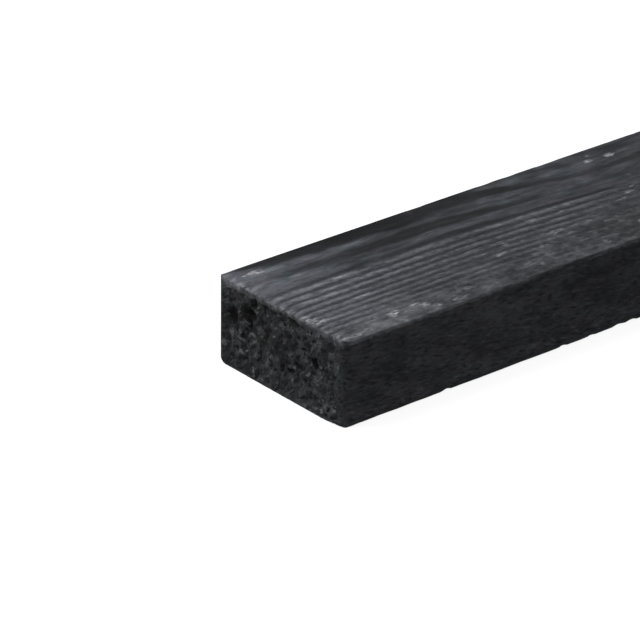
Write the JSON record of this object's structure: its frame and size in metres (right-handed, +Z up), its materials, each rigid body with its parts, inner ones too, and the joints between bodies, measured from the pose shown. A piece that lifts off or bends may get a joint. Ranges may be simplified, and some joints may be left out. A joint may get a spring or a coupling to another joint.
{
  "type": "treated timber batten",
  "caption": "Straight length of rough-sawn softwood batten, rectangular in section with slightly rounded edges and square sawn ends, pressure treated in a black preservative.",
  "frame": {"origin": "centre of the batten's underside, so that it lies flat on a wide face", "axes": "+X along the length, +Y across the width, +Z up through the thickness"},
  "size_m": [1.8, 0.05, 0.025],
  "materials": {
    "treated_softwood": "matte"
  },
  "bodies": {
    "root": {"batten": "treated_softwood"}
  },
  "joints": []
}
